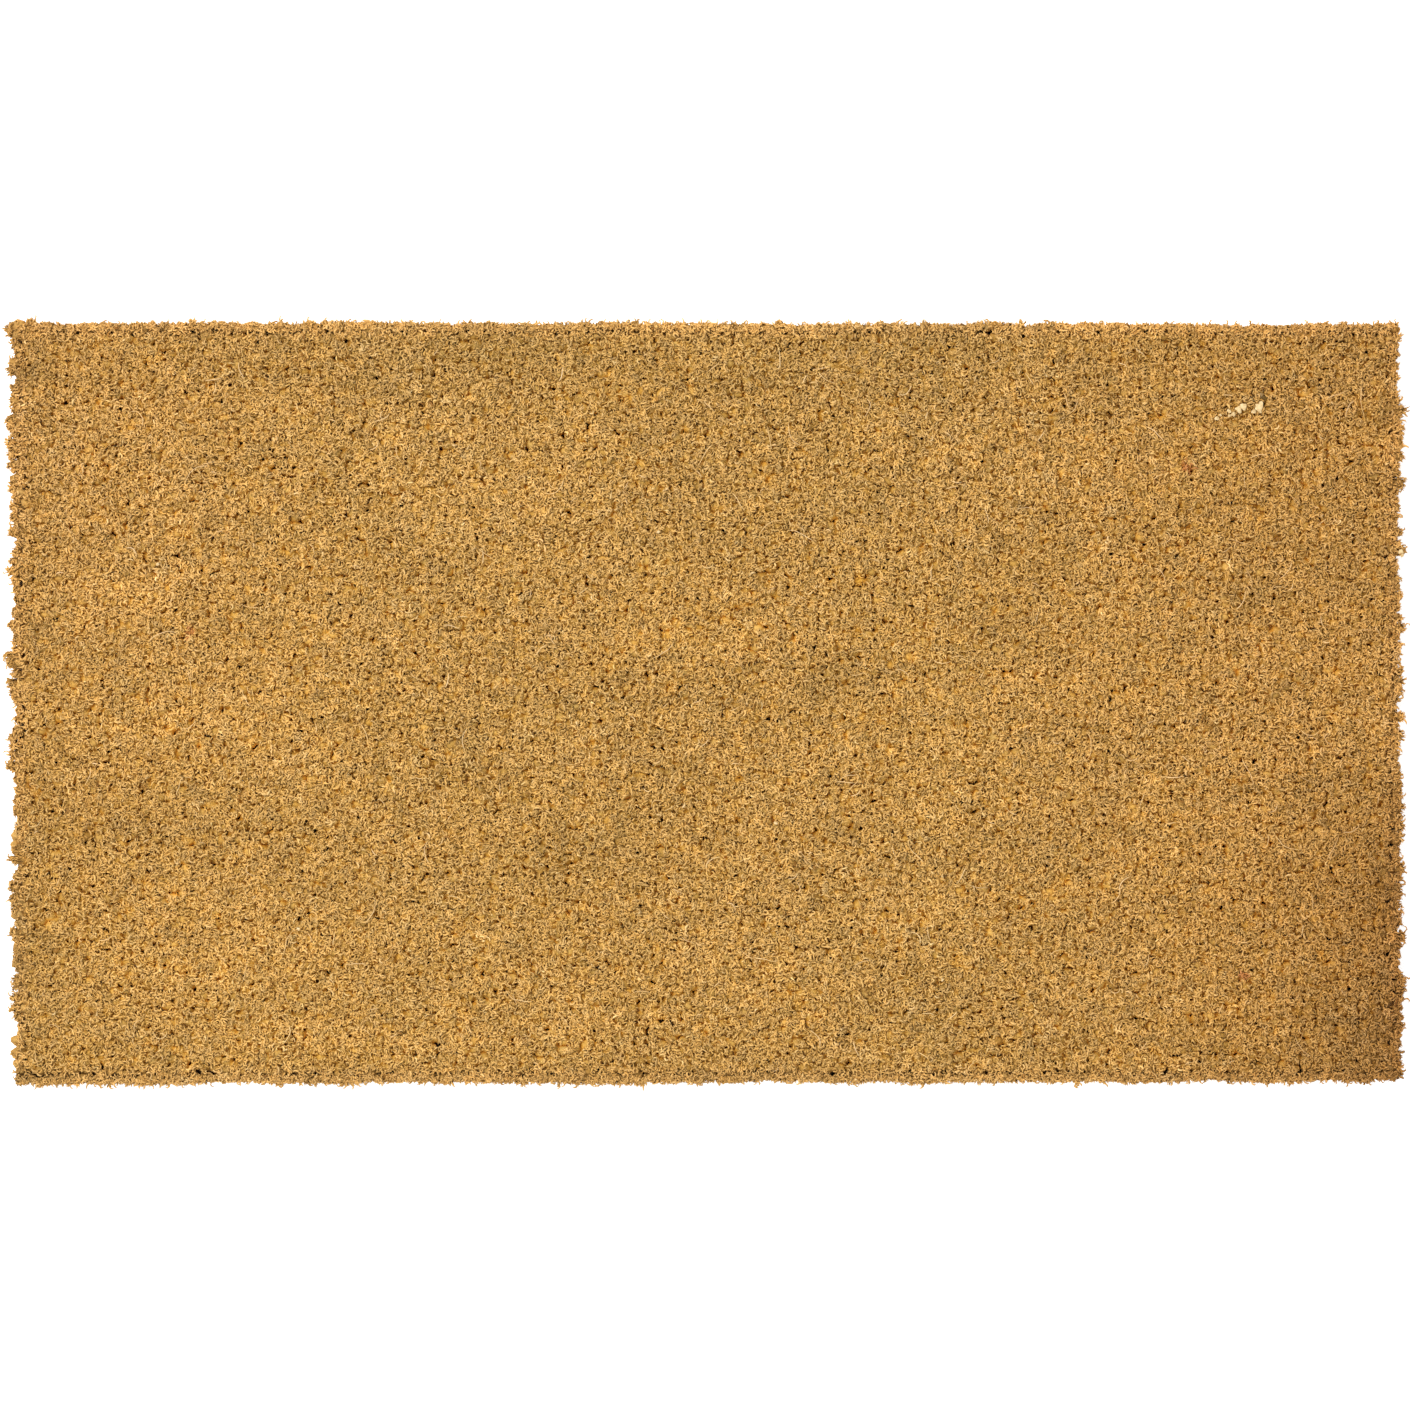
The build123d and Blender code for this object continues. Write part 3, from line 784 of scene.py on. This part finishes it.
# ---------------------------------------------------------------- the vinyl sheet
def build_backing():
    """A closed sheet: a fine underside with a shallow moulded texture, a cut edge and a rougher upper face."""
    step = 2.4 * MM
    nx, ny = int(round(L / step)), int(round(W / step))
    xs, ys = np.linspace(-L / 2, L / 2, nx + 1), np.linspace(-W / 2, W / 2, ny + 1)
    gx, gy = np.meshgrid(xs, ys, indexing="ij")
    flat = np.stack([gx, gy], -1).reshape(-1, 2)
    rim = (np.abs(np.abs(flat[:, 0]) - L / 2) < 1e-9) | (np.abs(np.abs(flat[:, 1]) - W / 2) < 1e-9)
    inward = np.clip(np.minimum(L / 2 - np.abs(flat[:, 0]), W / 2 - np.abs(flat[:, 1])) / (3 * MM), 0, 1)
    # the knife wanders a little along the cut
    wander = np.stack([0.25 * MM * smooth_noise(flat, 0.030, 31, 3) * (np.abs(np.abs(flat[:, 0]) - L / 2) < 1e-9),
                       0.25 * MM * smooth_noise(flat, 0.030, 32, 3) * (np.abs(np.abs(flat[:, 1]) - W / 2) < 1e-9)], -1)
    place = out_of_square(flat) + wander
    # moulded underside: shallow pillows between low ribs
    cell = 6.0 * MM
    rib = np.abs(np.sin(math.pi * flat[:, 0] / cell)) * np.abs(np.sin(math.pi * flat[:, 1] / cell))
    under = (0.28 * MM * (1 - rib ** 0.6) + 0.05 * MM * (smooth_noise(flat, 0.02, 33) + 1)) * (0.3 + 0.7 * inward)
    under = np.where(rim, 0.12 * MM, under)
    over = BACK - 0.12 * MM + 0.12 * MM * smooth_noise(flat, 0.007, 34, 3)
    nv = len(flat)
    V = np.concatenate([np.column_stack([place, under]), np.column_stack([place, over])])
    idx = np.arange(nv).reshape(nx + 1, ny + 1)
    a, b, c, d = idx[:-1, :-1].ravel(), idx[1:, :-1].ravel(), idx[1:, 1:].ravel(), idx[:-1, 1:].ravel()
    quads = [np.column_stack([a, d, c, b]), np.column_stack([a, b, c, d]) + nv]
    loop = np.concatenate([idx[:-1, 0], idx[-1, :-1], idx[1:, -1][::-1], idx[0, 1:][::-1]])
    # the cut edge has a middle line of its own, so that it bulges a little
    m = len(loop)
    mid = np.column_stack([place[loop] * (1 + 0.0004), 0.5 * (under[loop] + over[loop]) + RNG.normal(0, 0.05 * MM, m)])
    base = len(V)
    V = np.concatenate([V, mid])
    nxt = np.roll(loop, -1)
    k = base + np.arange(m)
    kn = np.roll(k, -1)
    quads += [np.column_stack([loop, nxt, kn, k]), np.column_stack([k, kn, nxt + nv, loop + nv])]
    Q = np.concatenate(quads)
    me = bpy.data.meshes.new("vinyl_backing")
    me.vertices.add(len(V))
    me.vertices.foreach_set("co", V.astype(np.float32).ravel())
    me.loops.add(len(Q) * 4)
    me.loops.foreach_set("vertex_index", Q.astype(np.int32).ravel())
    me.polygons.add(len(Q))
    me.polygons.foreach_set("loop_start", (np.arange(len(Q)) * 4).astype(np.int32))
    smooth = np.ones(len(Q), bool)
    me.polygons.foreach_set("use_smooth", smooth)
    me.update(calc_edges=True)
    uv = me.uv_layers.new(name="OFBake")
    lo = V[:, :2].min(0)
    span = np.ptp(V[:, :2], axis=0).max()
    half = 0.5 * W / L + 0.01
    flat_uv = (V[:, :2] - lo) / span * 0.98 + 0.01
    co = flat_uv[Q].copy()
    nq = nx * ny
    co[:nq, :, 1] = co[:nq, :, 1] * 0.82                    # underside in the lower part of the map
    co[nq:2 * nq, :, 1] = co[nq:2 * nq, :, 1] * 0.70 + 0.475   # upper face above it
    # the edge strips run along thin bands at the top of the map
    s0 = np.arange(m) / m
    s1 = (np.arange(m) + 1) / m
    for j, (v0, v1) in enumerate(((0.90, 0.935), (0.945, 0.98))):
        block = co[2 * nq + j * m:2 * nq + (j + 1) * m]
        block[:, 0, 0], block[:, 1, 0], block[:, 2, 0], block[:, 3, 0] = s0, s1, s1, s0
        block[:, 0, 1] = block[:, 1, 1] = v0
        block[:, 2, 1] = block[:, 3, 1] = v1
    uv.data.foreach_set("uv", co.astype(np.float32).ravel())
    me.materials.append(PVC)
    ob = bpy.data.objects.new("vinyl_backing", me)
    bpy.context.scene.collection.objects.link(ob)
    return ob


backing = build_backing()
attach(backing, "root")
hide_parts("pvc_backing")


# ---------------------------------------------------------------- loose fibres and chips
def surface_at(p):
    """The height of the pile near points (n, 2): the tallest of the nearest tufts."""
    out = np.empty(len(p))
    tops = out_of_square(feet) + lean * 0.9
    for j, q in enumerate(p):
        d = (tops[:, 0] - q[0]) ** 2 + (tops[:, 1] - q[1]) ** 2
        near = np.argpartition(d, 4)[:4]
        out[j] = height[near].max()
    return out


def build_loose(count):
    steps = 9
    start = np.column_stack([RNG.uniform(-L / 2 + 6 * MM, L / 2 - 6 * MM, count), RNG.uniform(-W / 2 + 6 * MM, W / 2 - 6 * MM, count)])
    # a few listed long ones
    named = np.array([[0.284, 0.138], [0.281, 0.131], [-0.062, 0.097], [0.098, 0.019], [-0.120, -0.070], [0.190, 0.120], [-0.200, 0.140], [0.020, -0.110]])
    start[:len(named)] = named
    head = RNG.uniform(0, 2 * math.pi, count)
    length = RNG.gamma(5.0, 1.25, count).clip(2.5, 16) * MM
    length[:len(named)] = np.array([15, 10, 12, 9, 12, 13, 9, 12]) * MM
    head[:2] = np.radians([252.0, 200.0])
    bend = RNG.normal(0, 1.0, count) * 1.2
    bend[0] = 0.5
    path = np.empty((count, steps, 3))
    p, a = start.copy(), head.copy()
    for s in range(steps):
        path[:, s, :2] = p
        a = a + bend / steps + RNG.normal(0, 0.16, count)
        p = p + (length / (steps - 1))[:, None] * np.column_stack([np.cos(a), np.sin(a)])
    path[..., 0] = path[..., 0].clip(-L / 2 - 1 * MM, L / 2 + 1 * MM)
    path[..., 1] = path[..., 1].clip(-W / 2 - 1 * MM, W / 2 + 1 * MM)
    z = surface_at(path.reshape(-1, 3)[:, :2]).reshape(count, steps)
    ends = np.sin(np.linspace(0, math.pi, steps))[None]
    path[..., 2] = z - 0.35 * MM + ends * RNG.uniform(0.2, 1.0, (count, 1)) * MM
    path[:, 0, 2] -= RNG.uniform(0.8, 2.5, count) * MM
    path[:, -1, 2] -= RNG.uniform(0.0, 0.8, count) * MM
    thick = RNG.uniform(0.12, 0.24, count) * MM
    thick[:len(named)] = 0.21 * MM
    rad = thick[:, None] * np.linspace(1.0, 0.6, steps - 1)[None]
    v, t, pl = tubes(path, rad, 5)
    attr = np.empty(v.shape)
    r = RNG.random(count)
    attr[..., 0] = np.where(r < 0.45, RNG.uniform(0.80, 1.0, count), np.where(r < 0.86, RNG.uniform(0.55, 0.8, count), RNG.uniform(0.05, 0.25, count)))[:, None]
    attr[:len(named), :, 0] = 0.86
    attr[..., 1] = 1.0
    attr[..., 2] = RNG.normal(0, 0.6, count)[:, None]
    around = np.concatenate([np.array([0.0, 0.25, 0.5, 0.75, 1.0])] * (steps - 1) + [[0.5]])
    return make_mesh("loose_fibres", [(v, t, attr, pl, around)], COIR)


loose = build_loose(420)
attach(loose, "root")


def chip_material():
    mat, nt, bsdf = nodes_of("husk_pith")
    coord = add(nt, "ShaderNodeTexCoord").outputs["Object"]
    n = add(nt, "ShaderNodeTexNoise")
    n.inputs["Scale"].default_value = 700.0
    n.inputs["Detail"].default_value = 4.0
    nt.links.new(coord, n.inputs["Vector"])
    col = ramp(nt, n.outputs["Fac"], [(0.30, (0.40, 0.26, 0.11)), (0.48, (0.52, 0.375, 0.185)), (0.70, (0.58, 0.445, 0.245))])
    nt.links.new(col, bsdf.inputs["Base Color"])
    bump = add(nt, "ShaderNodeBump")
    bump.inputs["Strength"].default_value = 0.6
    bump.inputs["Distance"].default_value = 0.0003
    nt.links.new(n.outputs["Fac"], bump.inputs["Height"])
    nt.links.new(bump.outputs["Normal"], bsdf.inputs["Normal"])
    bsdf.inputs["Specular IOR Level"].default_value = 0.15
    rough = maths(nt, "MULTIPLY_ADD", n.outputs["Fac"], 0.2, 0.68)
    nt.links.new(rough, bsdf.inputs["Roughness"])
    return mat


def build_chips():
    """Flakes of pale pith caught in the top of the pile: place in mm from the centre, size in mm, turn in degrees."""
    spots = [(220.9, 123.4, 1.7, 1.4, 60), (222.6, 124.7, 1.1, 0.9, -20),
             (226.2, 126.5, 1.7, 1.3, -35), (228.0, 125.0, 1.8, 1.5, 25), (226.3, 124.3, 1.1, 0.9, 80),
             (230.4, 127.6, 2.5, 2.0, 30), (232.3, 128.3, 2.2, 2.3, -15), (231.0, 126.2, 1.6, 1.2, 70),
             (237.0, 126.3, 1.8, 1.3, 15), (239.4, 127.4, 2.6, 2.5, 40), (240.0, 129.3, 1.7, 1.9, -30), (238.4, 128.9, 1.2, 1.0, 0),
             (300.6, 65.6, 2.2, 1.9, 60), (301.2, 63.8, 1.4, 1.2, 10),
             (-21.0, 74.0, 1.4, 1.0, 40), (30.0, -52.0, 1.3, 0.9, -30), (-177.0, -98.0, 1.5, 1.0, 10),
             (102.0, -120.0, 1.2, 0.9, 70), (-238.0, 60.0, 1.3, 0.9, 15)]
    bm_v, bm_f = [], []
    n, m = 11, 4
    for x, y, a, b, turn_ in spots:
        p = np.array([[x * MM, y * MM]])
        a, b = a * 1.35, b * 1.35
        z0 = float(surface_at(p)[0]) + RNG.uniform(-0.20, 0.05) * MM
        g = RNG.uniform(0.62, 1.25, n)
        th = np.arange(n) * 2 * math.pi / n + RNG.uniform(-0.15, 0.15, n)
        base = len(bm_v)
        tilt = RNG.normal(0, 0.20, 2)
        ca, sa = math.cos(math.radians(turn_)), math.sin(math.radians(turn_))
        for ring, (q, zz) in enumerate(((0.80, -0.35), (1.0, -0.05), (0.86, 0.12), (0.45, 0.24))):
            for s in range(n):
                u, w = a / 2 * MM * q * g[s] * math.cos(th[s]), b / 2 * MM * q * g[s] * math.sin(th[s])
                lift = RNG.normal(0, 0.06) * MM
                bm_v.append((p[0, 0] + u * ca - w * sa, p[0, 1] + u * sa + w * ca, z0 + zz * MM + lift + tilt[0] * u + tilt[1] * w))
        bm_v.append((p[0, 0], p[0, 1], z0 - 0.40 * MM))
        bm_v.append((p[0, 0], p[0, 1], z0 + 0.26 * MM))
        for ring in range(m - 1):
            for s in range(n):
                i0, i1 = base + ring * n + s, base + ring * n + (s + 1) % n
                bm_f.append((i0, i1, i1 + n, i0 + n))
        for s in range(n):
            bm_f.append((base + (s + 1) % n, base + s, base + m * n))
            bm_f.append((base + (m - 1) * n + s, base + (m - 1) * n + (s + 1) % n, base + m * n + 1))
    me = bpy.data.meshes.new("pith_chips")
    me.from_pydata([Vector(v) for v in bm_v], [], bm_f)
    me.polygons.foreach_set("use_smooth", np.zeros(len(me.polygons), bool))
    me.update()
    me.materials.append(chip_material())
    ob = bpy.data.objects.new("pith_chips", me)
    bpy.context.scene.collection.objects.link(ob)
    return ob


chips = build_chips()
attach(chips, "root")


# ---------------------------------------------------------------- floor, light, camera
def plain(name, colour, rough):
    mat, nt, bsdf = nodes_of(name)
    bsdf.inputs["Base Color"].default_value = (*colour, 1)
    bsdf.inputs["Roughness"].default_value = rough
    bsdf.inputs["Specular IOR Level"].default_value = 0.1
    return mat


me = bpy.data.meshes.new("floor")
S = 30.0
me.from_pydata([(-S, -S, -0.0002), (S, -S, -0.0002), (S, S, -0.0002), (-S, S, -0.0002)], [], [(0, 1, 2, 3)])
floor = bpy.data.objects.new("floor", me)
bpy.context.scene.collection.objects.link(floor)
pale = plain("floor_pale", (0.86, 0.86, 0.86), 0.9)
pale.node_tree.nodes["Principled BSDF"].inputs["Emission Color"].default_value = (1.0, 1.0, 1.0, 1.0)
pale.node_tree.nodes["Principled BSDF"].inputs["Emission Strength"].default_value = 0.40      # the floor is a light table, so that the cut edge throws no hard shadow
me.materials.append(pale)
floor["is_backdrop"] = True

world = bpy.data.worlds.new("studio")
bpy.context.scene.world = world
world.use_nodes = True
bg = world.node_tree.nodes["Background"]
bg.inputs["Color"].default_value = (1.0, 1.0, 1.0, 1)
bg.inputs["Strength"].default_value = 1.235


def lamp(name, place, target, size, watts, colour=(1, 1, 1)):
    data = bpy.data.lights.new(name, "AREA")
    data.shape = "DISK"
    data.size = size
    data.energy = watts
    data.color = colour
    ob = bpy.data.objects.new(name, data)
    bpy.context.scene.collection.objects.link(ob)
    ob.location = place
    ob.rotation_euler = (Vector(target) - Vector(place)).to_track_quat("-Z", "Y").to_euler()
    return ob


lamp("key", (-0.80, 0.85, 1.60), (-0.10, 0.0, 0.0), 0.95, 31.8)
lamp("fill", (-0.75, -0.95, 1.50), (-0.15, -0.05, 0.0), 1.40, 11.5)

cam_data = bpy.data.cameras.new("camera")
cam = bpy.data.objects.new("camera", cam_data)
bpy.context.scene.collection.objects.link(cam)
SCALE = 0.4331 * MM                       # metres on the pile's top for each of the frame's 1410 pixels
DIST = 2.6
cam.location = ((705 - 706.8) * SCALE, (702.9 - 705) * SCALE, TOP + DIST)
cam.rotation_euler = (0, 0, 0)
cam_data.sensor_width = 36.0
cam_data.lens = 36.0 * DIST / (1410 * SCALE)
cam_data.clip_start = 0.05
cam_data.clip_end = 200.0
bpy.context.scene.camera = cam

view = bpy.context.scene.view_settings
view.view_transform = "Standard"
view.look = "None"
view.exposure = 0.0
view.gamma = 1.0

low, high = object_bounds()
